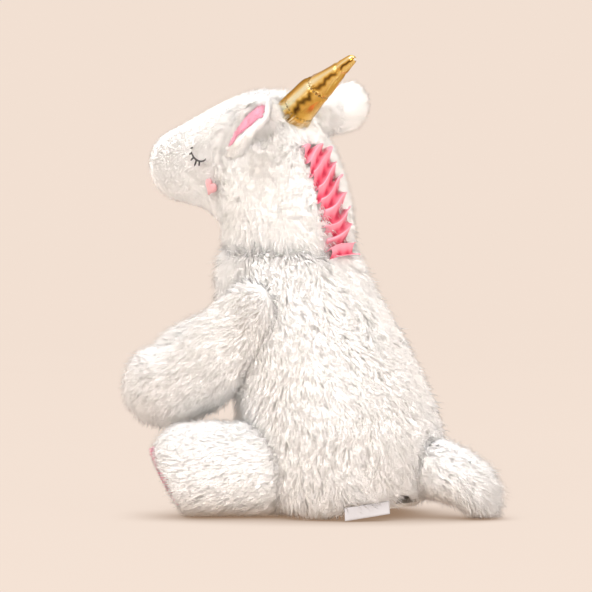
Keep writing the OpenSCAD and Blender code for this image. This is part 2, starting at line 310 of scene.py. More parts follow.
def tape_material():
    """Plain woven label tape."""
    s = Shader("label_tape", Roughness=0.55)
    place = s.node("ShaderNodeTexCoord")
    weave = s.node("ShaderNodeTexWave", Scale=1100.0, bands_direction="Z")
    s.link(place, "Object", weave, "Vector")
    s.link(s.ramp(weave, "Fac", [(0.2, (0.60, 0.60, 0.63)), (0.8, (0.76, 0.76, 0.79))]), "Color",
           s.bsdf, "Base Color")
    s.bump(weave, "Fac", 0.3, 0.0002)
    return s.material


# root colours are painted shade: each pile is drawn a little darker at its roots than at its tips
WHITE_TIP = (0.97, 0.975, 0.975)
WHITE_ROOT_SHADE = (0.93, 0.925, 0.92)
PINK_TIP = (0.97, 0.44, 0.56)
PINK_ROOT_SHADE = (0.80, 0.27, 0.38)

FUR = fur_material("white_plush", WHITE_ROOT_SHADE, WHITE_TIP)
SHORT_FUR = fur_material("white_plush_short", WHITE_ROOT_SHADE, WHITE_TIP, 4 * MM)
PINK_NAP = fur_material("pink_nap", PINK_ROOT_SHADE, PINK_TIP)
BACKING = backing_material("white_backing", (0.975, 0.975, 0.97))
PINK_BACKING = backing_material("pink_backing", (0.85, 0.33, 0.44))
PINK_FELT = felt_material("pink_felt", (0.95, 0.50, 0.53))
RIBBON = satin_material()
# the gold fringe is also drawn darker at its roots, as painted shade
FRINGE = fur_material("gold_fringe", (0.62, 0.45, 0.20), (0.93, 0.80, 0.55))
GOLD = gold_material()
GOLD_THREAD = thread_material("gold_thread", (0.42, 0.27, 0.08))
WHITE_THREAD = thread_material("white_thread", (0.88, 0.86, 0.83))
DARK_THREAD = thread_material("dark_thread", (0.045, 0.04, 0.045))
TAPE = tape_material()
FIBRE = backing_material("stuffing_fibre", (0.82, 0.80, 0.76))
POUCH = backing_material("pouch_cloth", (0.60, 0.48, 0.30))


# ---------------------------------------------------------------- skins under the fur


def copy_of(node):
    obj = NODES[node].copy()
    obj.data = NODES[node].data.copy()
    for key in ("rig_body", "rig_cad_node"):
        if key in obj:
            del obj[key]
    obj.parent = None
    bpy.context.scene.collection.objects.link(obj)
    return obj


def hull_skin(name, nodes):
    """The convex outside of some CAD nodes, for parts with no hollow in their outline."""
    bm = bmesh.new()
    for n in nodes:
        for co in coords(NODES[n]):
            bm.verts.new(co)
    out = bmesh.ops.convex_hull(bm, input=bm.verts)
    loose = [g for g in out["geom_interior"] if isinstance(g, bmesh.types.BMVert)]
    bmesh.ops.delete(bm, geom=loose, context="VERTS")
    mesh = bpy.data.meshes.new(name)
    bm.to_mesh(mesh)
    bm.free()
    return new_object(name, mesh, BACKING)


def joined_skin(name, nodes, plugs):
    """Some CAD nodes as one mesh, with the rooms at the ear roots filled by small balls."""
    bm = bmesh.new()
    for n in nodes:
        bm.from_mesh(NODES[n].data)
    for centre, radius in plugs:
        bmesh.ops.create_icosphere(bm, subdivisions=3, radius=radius, matrix=Matrix.Translation(centre))
    mesh = bpy.data.meshes.new(name)
    bm.to_mesh(mesh)
    bm.free()
    return new_object(name, mesh, BACKING)


def keep_largest(obj):
    """Drops every loose piece of the mesh but the one with the most vertices."""
    bm = bmesh.new()
    bm.from_mesh(obj.data)
    left, parts = set(bm.verts), []
    while left:
        todo, part = [left.pop()], []
        while todo:
            v = todo.pop()
            part.append(v)
            for e in v.link_edges:
                w = e.other_vert(v)
                if w in left:
                    left.discard(w)
                    todo.append(w)
        parts.append(part)
    parts.sort(key=len)
    bmesh.ops.delete(bm, geom=[v for p in parts[:-1] for v in p], context="VERTS")
    bm.to_mesh(obj.data)
    bm.free()


def plump(obj, pressure, cap):
    """A short cloth simulation with pressure inside. No point may end further than cap from its start."""
    start = coords(obj)
    cloth = obj.modifiers.new("Cloth", "CLOTH")
    cloth.settings.use_pressure = True
    cloth.settings.uniform_pressure_force = pressure
    cloth.settings.effector_weights.gravity = 0
    cloth.settings.quality = 4
    cloth.settings.mass = 0.3
    cloth.collision_settings.use_self_collision = False
    cloth.point_cache.frame_end = 20
    for f in range(1, 21):
        bpy.context.scene.frame_set(f)
    dg = bpy.context.evaluated_depsgraph_get()
    moved = np.empty(len(start) * 3)
    obj.evaluated_get(dg).data.vertices.foreach_get("co", moved)
    obj.modifiers.clear()
    bpy.context.scene.frame_set(1)
    step = moved.reshape(-1, 3) - start
    length = np.linalg.norm(step, axis=1, keepdims=True)
    set_coords(obj, start + step * np.minimum(1, cap / np.maximum(length, 1e-9)))


def finish_skin(obj, pile, voxel=4 * MM):
    """Remeshes and rounds the skin, sets it in from the CAD surface by the pile's depth, and plumps it."""
    m = obj.modifiers.new("Remesh", "REMESH")
    m.mode = "VOXEL"
    m.voxel_size = voxel
    m.use_smooth_shade = True
    apply_modifiers(obj)
    keep_largest(obj)
    s = obj.modifiers.new("Smooth", "SMOOTH")
    s.factor = 0.5
    s.iterations = 5
    apply_modifiers(obj)
    d = obj.modifiers.new("Inset", "DISPLACE")
    d.mid_level = 0
    d.strength = -pile
    apply_modifiers(obj)
    plump(obj, 4.0, 1.2 * MM)
    obj.data.shade_smooth()


# ---------------------------------------------------------------- pile


def sample(obj, count, rng):
    """count points spread over the object's surface by area, with their smooth normals."""
    obj.data.calc_loop_triangles()
    tris = np.empty(len(obj.data.loop_triangles) * 3, np.int32)
    obj.data.loop_triangles.foreach_get("vertices", tris)
    tris = tris.reshape(-1, 3)
    co = coords(obj)
    no = np.empty(len(co) * 3, np.float32)
    obj.data.vertex_normals.foreach_get("vector", no)
    no = no.reshape(-1, 3)
    a, b, c = (co[tris[:, k]] for k in range(3))
    area = np.linalg.norm(np.cross(b - a, c - a), axis=1)
    pick = rng.choice(len(tris), count, p=area / area.sum())
    u, v = rng.random((2, count))
    over = u + v > 1
    u[over], v[over] = 1 - u[over], 1 - v[over]
    w = np.stack([1 - u - v, u, v], axis=1)[:, :, None]
    points = (co[tris[pick]] * w).sum(1)
    normals = unit((no[tris[pick]] * w).sum(1))
    return points, normals


def tuft_mesh(name, roots, normals, combed, length, width, lean, rng, material):
    """One closed, three-sided spike on each root, leaning over in its combed direction."""
    n = len(roots)
    along = unit(combed - (combed * normals).sum(1, keepdims=True) * normals)
    along = unit(along + rng.normal(0, 0.16, (n, 3)))
    side = unit(np.cross(along, normals))
    length = length[:, None]
    foot = roots - 1.2 * MM * normals
    middle = roots + 0.5 * length * (math.cos(0.6 * lean) * normals + math.sin(0.6 * lean) * along)
    tip = roots + length * (math.cos(lean) * normals + math.sin(lean) * along)
    corners = [foot + width * (0.4 * math.cos(turn) * normals + math.sin(turn) * side)
               for turn in (0.0, 2 * math.pi / 3, 4 * math.pi / 3)]
    verts = np.stack([*corners, tip], axis=1).reshape(-1, 3)
    # under the toy, the pile lies flat on the floor
    verts[:, 2] = np.maximum(verts[:, 2], 0.3 * MM)
    faces = np.array([(0, 1, 3), (1, 2, 3), (2, 0, 3), (0, 2, 1)])
    tris = (faces[None] + 4 * np.arange(n)[:, None, None]).reshape(-1, 3)
    mesh = bpy.data.meshes.new(name)
    mesh.vertices.add(len(verts))
    mesh.vertices.foreach_set("co", verts.ravel())
    mesh.loops.add(tris.size)
    mesh.loops.foreach_set("vertex_index", tris.ravel().astype(np.int32))
    mesh.polygons.add(len(tris))
    mesh.polygons.foreach_set("loop_start", np.arange(0, tris.size, 3, dtype=np.int32))
    mesh.update(calc_edges=True)
    mesh.shade_smooth()
    # the pile is lit mostly as the soft surface that it covers, as fine fibres are
    out = unit(verts.reshape(n, 4, 3) - np.stack([foot, foot, foot, middle], axis=1) + 1e-9)
    blend = unit(normals[:, None] + 0.30 * out)
    mesh.normals_split_custom_set_from_vertices(blend.reshape(-1, 3))
    across = np.repeat(rng.random(n), 4)
    up_tuft = np.tile([0.02, 0.02, 0.02, 0.98], n)
    uv = mesh.uv_layers.new(name="OFBake")
    loops = tris.ravel()
    place = np.stack([across[loops], up_tuft[loops]], axis=1)
    uv.uv.foreach_set("vector", place.ravel().astype(np.float32))
    return new_object(name, mesh, material)


def fur(name, skin, body, count, length, comb, seed, keep=None, width=0.6 * MM, lean=68, swirl=0.5,
        scale=None, material=FUR, spare=1.3):
    """Covers a skin with pile of count tufts. comb gives a direction at points, keep says which roots to use,
    out of spare times as many, and scale gives each root's share of the full length."""
    rng = np.random.default_rng(seed)
    points, normals = sample(skin, int(spare * count), rng)
    if keep is not None:
        chosen = keep(points, normals)
        points, normals = points[chosen], normals[chosen]
    few = rng.permutation(len(points))[:count]
    points, normals = points[few], normals[few]
    coarse = noise_at(points, 26 * MM)
    fine = noise_at(points + 0.31, 7 * MM)
    combed = unit(comb(points, normals)) + swirl * coarse + 0.45 * swirl * fine
    size = length * (0.72 + 0.45 * rng.random(len(points)))
    if scale is not None:
        size = size * scale(points)
    piece = tuft_mesh(name, points, normals, combed, size, width, math.radians(lean), rng, material)
    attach(piece, body)


def toward(direction):
    """A comb that pulls every tuft the same way."""
    way = np.array(direction, float)
    return lambda points, normals: np.tile(way, (len(points), 1))


def limb_way(body):
    """From a limb's root, at its joint, to the middle of its CAD box."""
    joint = next(j for j in frame["joints"] if j["child"] == body)
    low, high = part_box(f"{body}_cover")
    return unit(np.array((low + high) / 2) - np.array(joint["pos_m"]))


# ---------------------------------------------------------------- the torso, limbs and tail

PILE = 3.2 * MM
NECK_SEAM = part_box("torso_cover")[1][2]


def padded_skin(obj, body, *nodes):
    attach(obj, body)
    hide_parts(*nodes)


def make_torso():
    skin = hull_skin("torso_skin", ["torso_cover"])
    finish_skin(skin, PILE)
    # the underside rounds up behind the label
    co = coords(skin)
    back = np.clip((co[:, 1] - 8 * MM) / (45 * MM), 0, 1)
    floor = np.clip(1 - co[:, 2] / (30 * MM), 0, 1)
    co[:, 2] += 13 * MM * back * floor
    # and the top draws in to meet the neck
    top = np.clip(1 - (NECK_SEAM - co[:, 2]) / (16 * MM), 0, 1)
    co[:, :2] -= (co[:, :2] - NECK_BALL[:2]) * (0.08 * top ** 2)[:, None]
    set_coords(skin, co)
    padded_skin(skin, "torso", "torso_cover")

    def keep(points, normals):
        return (normals[:, 2] > -0.8) & (points[:, 2] < NECK_SEAM)

    down_and_back = toward((0, 0.35, -1))
    fur("torso_fur", skin, "torso", 49500, 12.5 * MM, down_and_back, 11, keep=keep, swirl=1.0, width=1.2 * MM)


def sink_root(skin, body, way):
    """Lets the outer side of an arm's root down into the torso, so that the pile runs on between them."""
    joint = next(j for j in frame["joints"] if j["child"] == body)
    root, axis = np.array(joint["pos_m"]), np.array(joint["axis"])
    outward = axis * np.sign(axis[0] * root[0])
    co = coords(skin)
    along, off = (co - root) @ way, (co - root) @ outward
    t = np.clip((along + 5 * MM) / (50 * MM), 0, 1)
    share = 0.62 + 0.38 * t * t * (3 - 2 * t)
    change = np.where(off > 0, off * (share - 1), 0)
    set_coords(skin, co + change[:, None] * outward)


def make_limb(side, limb):
    body = f"{side}_{limb}"
    cover = f"{body}_cover"
    if limb == "arm":
        skin = joined_skin(f"{body}_skin", [cover, f"{body}_stuffing"], [])
    else:
        skin = hull_skin(f"{body}_skin", [cover])
    finish_skin(skin, PILE)
    way = limb_way(body)
    if limb == "arm":
        sink_root(skin, body, way)
    padded_skin(skin, body, cover)
    comb = way + np.array([0, 0, -0.35])
    keep = None
    if limb == "leg":
        # the sole's place is left bare
        sole = coords(NODES[f"{side}_sole"])
        centre = sole.mean(0)
        facing = flat_axes(sole)[2]
        facing *= np.sign(facing @ way)

        def keep(points, normals):
            off = points - centre
            depth = off @ facing
            radius = np.linalg.norm(off - depth[:, None] * facing, axis=1)
            return ~((depth > -9 * MM) & (radius < 19 * MM) & (normals @ facing > 0.6))

    fur(f"{body}_fur", skin, body, 20000, 9.5 * MM, toward(comb), 21 if side == "left" else 22, keep=keep,
        swirl=0.7)


def make_tail():
    skin = hull_skin("tail_skin", ["tail_cover"])
    finish_skin(skin, PILE, voxel=3.5 * MM)
    padded_skin(skin, "tail", "tail_cover")
    way = limb_way("tail")
    # the tail ends in a tuft that hangs down
    root = np.array(JOINTS["tail_wag"]["pos_m"])
    co = coords(skin)
    t = np.clip(((co - root) @ way - 38 * MM) / (22 * MM), 0, 1)
    low = np.clip(1 - (co[:, 2] - co[:, 2].min()) / (30 * MM), 0, 1)
    co[:, 2] -= 7 * MM * t * low ** 2
    co[:, 1] -= 9 * MM * t * (1 - low)
    set_coords(skin, co)

    def scale(points):
        return 0.9 + 0.5 * np.clip(((points - root) @ way - 30 * MM) / (25 * MM), 0, 1)

    fur("tail_fur", skin, "tail", 11000, 11 * MM, toward(way + np.array([0, 0, -0.6])), 31, swirl=1.1,
        lean=60, scale=scale)


# ---------------------------------------------------------------- the head


def middle_of(node):
    low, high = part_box(node)
    return np.array((low + high) / 2)


def make_head_skin():
    plugs = [(JOINTS[f"{side}_ear_flop"]["pos_m"], 12.5 * MM) for side in ("left", "right")]
    skin = joined_skin("head_skin", ["head_cover", "head_stuffing"], plugs)
    finish_skin(skin, 0.8 * MM)
    co = coords(skin)
    # the muzzle is a little longer than its CAD solid
    ahead = -(co - NECK_BALL) @ HEAD_BACK
    co -= HEAD_BACK * (4.5 * MM * np.clip((ahead - 45 * MM) / (40 * MM), 0, 1))[:, None]
    # the foot of the neck goes down into the torso, so that the pile hides the seam
    low = np.clip(1 - (co[:, 2] - NECK_SEAM) / (16 * MM), 0, 1)
    co[:, 2] -= 9 * MM * low
    co[:, :2] -= (co[:, :2] - NECK_BALL[:2]) * (0.05 * low ** 2)[:, None]
    set_coords(skin, co)
    padded_skin(skin, "head", "head_cover")
    return skin


def make_head_fur(skin, mane_path):
    eyes = [middle_of(f"{s}_eye") for s in ("left", "right")]
    cheeks = [middle_of(f"{s}_cheek") for s in ("left", "right")]
    horn_root, horn_ring = horn_line()[:2]
    horn_way = unit(horn_ring - horn_root)

    def face_share(points, start, reach):
        ahead = -(points - NECK_BALL) @ HEAD_BACK
        return np.clip((ahead - start) / reach, 0, 1)

    def comb(points, normals):
        face = face_share(points, 20 * MM, 50 * MM)[:, None]
        down = np.tile([0.0, 0.0, -1.0], (len(points), 1)) + 0.3 * HEAD_BACK
        return down * (1 - face) + (HEAD_BACK + np.array([0, 0, -0.5])) * face

    def scale(points):
        size = 1 - 0.5 * face_share(points, 10 * MM, 45 * MM)
        size = size * (1 + 0.5 * np.clip(1 - (points[:, 2] - NECK_SEAM) / (14 * MM), 0, 1))
        for spot, reach in [(e, 13 * MM) for e in eyes] + [(c, 11 * MM) for c in cheeks]:
            near = np.linalg.norm(points - spot, axis=1)
            size = size * (0.45 + 0.55 * np.clip((near - 0.6 * reach) / reach, 0, 1))
        return size

    def clear_of_mane(points, room):
        gap = np.min(np.linalg.norm(points[:, None] - mane_path[None, ::3], axis=2), axis=1)
        return gap > room

    def off_horn(points):
        """Distances from the horn's axis, and far away below its root."""
        along = (points - horn_root) @ horn_way
        off = np.linalg.norm(points - horn_root - along[:, None] * horn_way, axis=1)
        return np.where(along > 0, off, 1.0)

    def long_pile(points, normals):
        clear = (off_horn(points) > 11.5 * MM) & clear_of_mane(points, 8 * MM)
        return clear & (normals[:, 2] > -0.9) & (face_share(points, 10 * MM, 30 * MM) < 0.8)

    def face_only(points, normals):
        return face_share(points, 10 * MM, 30 * MM) > 0.3

    def at_horn(points, normals):
        near = off_horn(points)
        return (near > 10.5 * MM) & (near < 14 * MM)

    fur("head_fur", skin, "head", 49500, 10.5 * MM, comb, 41, keep=long_pile, swirl=0.9, scale=scale,
        width=0.78 * MM, spare=2)
    fur("face_fur", skin, "head", 49500, 8 * MM, comb, 42, keep=face_only, scale=scale,
        width=0.65 * MM, material=SHORT_FUR, spare=4)
    fur("horn_fringe", skin, "head", 1500, 9 * MM, toward(horn_way), 43, keep=at_horn, swirl=0.4, spare=40,
        lean=20, width=0.4 * MM, material=FRINGE)


def on_surface(tree, origin, out, right, up, points, lift):
    """Flat points (x, y) in metres, drawn about origin with axes right and up, dropped onto a surface along
    -out, and raised by lift."""
    placed = []
    for x, y in points:
        start = Vector(origin + right * x + up * y + out * 0.05)
        hit, normal, _, _ = tree.ray_cast(start, Vector(-out))
        placed.append(np.array(hit) + np.array(normal) * lift)
    return np.array(placed)


def tube(name, lines, radius, material):
    """Round threads along some lines of points, thinner at both ends."""
    verts, faces, sides = [], [], 8
    for line in lines:
        line = np.array(line)
        tangent = unit(np.gradient(line, axis=0))
        first = unit(np.cross(tangent, np.tile(UP + 0.01, (len(line), 1))))
        second = np.cross(tangent, first)
        base = len(verts)
        for k, p in enumerate(line):
            t = k / (len(line) - 1)
            r = radius * (0.45 + 0.55 * math.sin(math.pi * min(1, max(0.08, t))) ** 0.5)
            for a in np.arange(sides) * 2 * math.pi / sides:
                verts.append(p + r * (math.cos(a) * first[k] + math.sin(a) * second[k]))
        faces += [tuple(base + v for v in face) for face in ring_faces(len(line), sides)]
    return mesh_object(name, verts, faces, material)


def make_eye(side, tree):
    """A closed eye in satin stitch: a drooping arc with four lashes."""
    sign = 1 if side == "left" else -1
    low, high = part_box(f"{side}_eye")
    centre = np.array((low + high) / 2)
    out = HEAD_LEFT * sign
    right = HEAD_BACK
    arc_r = 11 * MM
    lift = 4.2 * MM

    def bow(a, r=arc_r):
        x, y = r * math.cos(math.radians(a)), r * math.sin(math.radians(a))
        return x * 0.95 + 1.0 * MM, y * 0.62 - x * 0.24 + 6.8 * MM

    lines = [[bow(a) for a in np.linspace(-150, -28, 15)]]
    for a, long in ((-143, 3.0), (-122, 4.2), (-100, 4.8), (-80, 3.2)):
        x, y = bow(a)
        turn = math.radians(a - 24)
        lines.append([(x + s * long * MM * math.cos(turn), y + s * long * MM * math.sin(turn))
                      for s in np.linspace(0, 1, 5)])
    x, y = bow(-150)
    lines.append([(x - 1.2 * MM + s * 2.6 * MM, y + 2.4 * MM + s * 0.6 * MM) for s in np.linspace(0, 1, 4)])
    drawn = [on_surface(tree, centre, out, right, UP, line, lift) for line in lines]
    eye = tube(f"{side}_eye_stitch", drawn, 0.65 * MM, DARK_THREAD)
    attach(eye, "head")
    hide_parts(f"{side}_eye")


def make_cheek(side, tree):
    """A small felt heart that lies in a hollow of the pile."""
    sign = 1 if side == "left" else -1
    low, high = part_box(f"{side}_cheek")
    centre = np.array((low + high) / 2)
    out = HEAD_LEFT * sign
    size = 12 * MM
    tilt = math.radians(-35)
    edge = []
    for a in np.linspace(0, 2 * math.pi, 40, endpoint=False):
        x = 0.5 * math.sin(a) ** 3
        y = (13 * math.cos(a) - 5 * math.cos(2 * a) - 2 * math.cos(3 * a) - math.cos(4 * a)) / 32
        edge.append((size * (x * math.cos(tilt) - y * math.sin(tilt)),
                     size * (x * math.sin(tilt) + y * math.cos(tilt))))
    rings = []
    for scale, lift in ((1.0, 2.2), (0.97, 4.2), (0.6, 4.6), (0.25, 4.7)):
        rings.append(on_surface(tree, centre, out, HEAD_BACK, UP,
                                [(x * scale, y * scale) for x, y in edge], lift * MM))
    faces = ring_faces(len(rings), len(edge))
    patch = mesh_object(f"{side}_cheek_heart", np.concatenate(rings), faces, PINK_FELT)
    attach(patch, "head")
    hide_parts(f"{side}_cheek")


# ---------------------------------------------------------------- the ribbon mane

# how far the ribbon's middle line is turned about the neck, at the crown and at its foot
MANE_TURN = math.radians(4)
MANE_TURN_LOW = math.radians(-5)
# how far it hangs past the CAD ribbon's end, and the ribbon before it was gathered
MANE_HANG = 14 * MM
MANE_WIDTH = 27 * MM


def mane_line(tree):
    """The ribbon's middle line on the back of the neck, and the outward way at each point of it: the CAD
    ribbon's middle, turned a little about the neck, dropped onto the head and carried on over the seam."""
    axis = NECK_BALL * np.array([1, 1, 0])
    ribbon = coords(NODES["mane_ribbon"])
    path, outward = [], []
    for k, points in enumerate(np.array_split(ribbon[np.argsort(-ribbon[:, 2])], 40)):
        turn = MANE_TURN + (MANE_TURN_LOW - MANE_TURN) * k / 39
        behind = math.cos(turn) * HEAD_BACK + math.sin(turn) * HEAD_LEFT
        middle = points.mean(0)
        back = (middle - axis) @ HEAD_BACK
        hit, normal, _, _ = tree.find_nearest(Vector(axis + behind * back + UP * middle[2]))
        path.append(np.array(hit))
        outward.append(np.array(normal))
    last = path[-3]
    for step in np.linspace(0, MANE_HANG, 8)[1:]:
        path.append(last + (behind * 0.5 - UP * 0.87) * step)
        outward.append(unit(behind * 0.87 + UP * 0.5))
    path, outward = np.array(path), np.array(outward)
    for _ in range(8):
        path[1:-1] = (path[:-2] + 2 * path[1:-1] + path[2:]) / 4
        outward[1:-1] = (outward[:-2] + outward[1:-1] + outward[2:]) / 3
    return path, unit(outward - (outward @ HEAD_LEFT)[:, None] * HEAD_LEFT)


def make_mane(path, outward):
    """A satin ribbon gathered into leaning folds, steep at the crown and flatter at the foot of the neck."""
    folds, per_fold, across = 8, 24, 19
    walk = np.r_[0, np.cumsum(np.linalg.norm(np.diff(path, axis=0), axis=1))]
    total = walk[-1]

    def at(s):
        s = np.clip(s, 0, total)
        p = np.array([np.interp(s, walk, path[:, k]) for k in range(3)])
        return p, unit(np.array([np.interp(s, walk, outward[:, k]) for k in range(3)]))

    rows = folds * per_fold + 1
    verts, painted_fold_shade = [], []
    for i in range(rows):
        t = i / (rows - 1)
        slant = 5.2 * (1 - t) ** 1.3 + 1.6
        for j in range(across):
            v = 2 * j / (across - 1) - 1
            uneven = 0.5 * math.sin(7 * t + 2.6 * v) + 0.35 * math.sin(17 * t - 3 * v)
            phase = 2 * math.pi * folds * t - slant * v + uneven
            wave = math.sin(phase)
            big = 1 + 0.22 * math.sin(23 * t + 1.3) + 0.15 * v
            ease = min(1, 6 * t, 6 * (1 - t))
            s = total * t + ease * big * 2.9 * MM * math.sin(phase + 2.4) + 1.5 * MM * ease * math.sin(2 * v)
            lift = 5.6 * MM + big * (3.2 * MM * wave + 0.7 * MM * math.sin(2 * phase + 1))
            p, o = at(s)
            reach = MANE_WIDTH / 2 * v * (1 + 0.07 * math.sin(phase + 0.9) + 0.05 * math.sin(31 * t))
            verts.append(p + HEAD_LEFT * reach + o * (lift - 2.4 * MM * v * v))
            # the fold value is painted light and shade: low in the valleys between folds, high on the raised
            # crests, with a little uneven tone
            painted_fold_shade.append(min(1, max(0, 0.70 + 0.55 * wave + 0.12 * math.sin(9 * v + 21 * t))))
    mane = mesh_object("mane_satin", verts, grid_faces(rows, across), RIBBON)
    attribute = mane.data.attributes.new("fold", "FLOAT", "POINT")
    attribute.data.foreach_set("value", np.array(painted_fold_shade, np.float32))
    thicken(mane, 0.5 * MM, subdivide=True)
    mane.data.shade_smooth()
    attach(mane, "head")
    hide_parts("mane_ribbon")


# ---------------------------------------------------------------- the horn

# where its seam runs, and the side facing the view, from which the painted reflection streaks are set out
HORN_SEAM = math.radians(52)
HORN_REFLECTION_SIDE = math.radians(-28)


def horn_line():
    """The horn's root, its two gathers and its tip, from the CAD model's stitch rings and cover."""
    rings = coords(NODES["horn_thread"])
    shell = coords(NODES["horn_cover"])
    base = shell[np.argsort(shell[:, 2])[:60]].mean(0)
    tip = shell[np.argmax((shell - base) @ unit(shell.mean(0) - base))]
    along = (rings - base) @ unit(tip - base)
    middle = (along.min() + along.max()) / 2
    lower, upper = rings[along < middle].mean(0), rings[along > middle].mean(0)
    return lower - unit(upper - lower) * 16 * MM, lower, upper, tip


def make_horn():
    root, lower, upper, tip = horn_line()
    start, bend = unit(upper - lower), unit(tip - upper)
    low_ring, high_ring = np.linalg.norm(lower - root), np.linalg.norm(upper - root)
    total = high_ring + np.linalg.norm(tip - upper) - 1.0 * MM
    tip_ring = high_ring + (total - high_ring) * 0.62
    side = unit(np.cross(start, UP))
    rows, around = 170, 96

    def centre(s):
        return root + start * s if s <= high_ring else root + start * high_ring + bend * (s - high_ring)

    def cross_axis(s):
        turn = min(1, max(0, (s - high_ring + 5 * MM) / (10 * MM)))
        return unit(np.cross(side, unit(start * (1 - turn) + bend * turn)))

    def radius(s):
        r = np.interp(s, [0, low_ring, high_ring, tip_ring, total],
                      [12.3 * MM, 11.9 * MM, 9.9 * MM, 5.2 * MM, 3.1 * MM])
        for ring, depth, reach in ((low_ring, 0.35, 1.0), (high_ring, 0.8, 1.8), (tip_ring, 0.6, 1.8)):
            r -= depth * MM * math.exp(-((s - ring) / (reach * MM)) ** 2)
        end = (s / total - 0.95) / 0.05
        return r * math.sqrt(max(0.03, 1 - end * end)) if end > 0 else r

    def gold_tone_and_reflections(s, a):
        """Painted reflections on the gold film around its own mid-gold tone: a pale highlight streak, a dark
        reflected streak beside it and a darker edge band, set out from the side facing the view and from the
        side opposite, with the dark streak broken up at the gathers.
        """
        tone = 0.60 + 0.10 * math.sin(3 * a + 60 * s)
        ragged = 0.10 * math.sin(420 * s) + 0.06 * math.sin(1130 * s + 1)
        gathers = (low_ring, high_ring, tip_ring)
        whole = 1 - sum(0.8 * math.exp(-((s - ring) / (2.2 * MM)) ** 2) for ring in gathers)
        for turn in (0, math.pi):
            d = (a - HORN_REFLECTION_SIDE - turn + math.pi) % (2 * math.pi) - math.pi
            tone += 0.40 * math.exp(-((d - 0.75) / 0.30) ** 2)
            tone -= 0.60 * whole * math.exp(-((d - 0.08 + ragged) / 0.20) ** 2)
            tone -= 0.30 * math.exp(-((d - 1.5) / 0.25) ** 2)
        return min(1, max(0, tone))

    verts, tones_and_reflections = [], []
    for i in range(rows):
        s = total * i / (rows - 1)
        for k in range(around):
            a = 2 * math.pi * k / around
            tones_and_reflections.append(gold_tone_and_reflections(s, a))
            fold = 0
            for ring, amount, reach in ((low_ring, 0.10, 2.0), (high_ring, 0.38, 4.0), (tip_ring, 0.42, 5.0)):
                near = math.exp(-((s - ring) / (reach * MM)) ** 2)
                fold += amount * near * math.sin(15 * a + 3 * math.sin(4 * a) + ring * 900)
            # long soft dents, and the seam that runs up to the second gather
            fold += 0.22 * math.sin(3 * a + 150 * s) + 0.10 * math.sin(7 * a - 330 * s)
            if s < high_ring + 1 * MM:
                fold += 1.5 * math.exp(-(((a - HORN_SEAM + math.pi) % (2 * math.pi) - math.pi) / 0.10) ** 2)
            out = math.cos(a) * side + math.sin(a) * cross_axis(s)
            verts.append(centre(s) + out * (radius(s) + fold * MM))
    horn = mesh_object("horn_gold", verts, ring_faces(rows, around), GOLD)
    attribute = horn.data.attributes.new("gold_tone_and_reflections", "FLOAT", "POINT")
    attribute.data.foreach_set("value", np.array(tones_and_reflections, np.float32))
    bm = bmesh.new()
    bm.from_mesh(horn.data)
    bmesh.ops.recalc_face_normals(bm, faces=bm.faces)
    bm.to_mesh(horn.data)
    bm.free()
    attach(horn, "head")
    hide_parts("horn_cover")
    stitches = []
    for ring, count in ((low_ring, 26), (high_ring, 22)):
        for k in range(count):
            arc = []
            for u in np.linspace(0.10, 0.72, 5):
                a = 2 * math.pi * (k + u) / count
                out = math.cos(a) * side + math.sin(a) * cross_axis(ring)
                arc.append(centre(ring) + out * (radius(ring) + (0.15 + 0.3 * math.sin(math.pi * u)) * MM))
            stitches.append(arc)
    thread = tube("horn_stitches", stitches, 0.30 * MM, GOLD_THREAD)
    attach(thread, "head")
    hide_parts("horn_thread")


# ---------------------------------------------------------------- ears


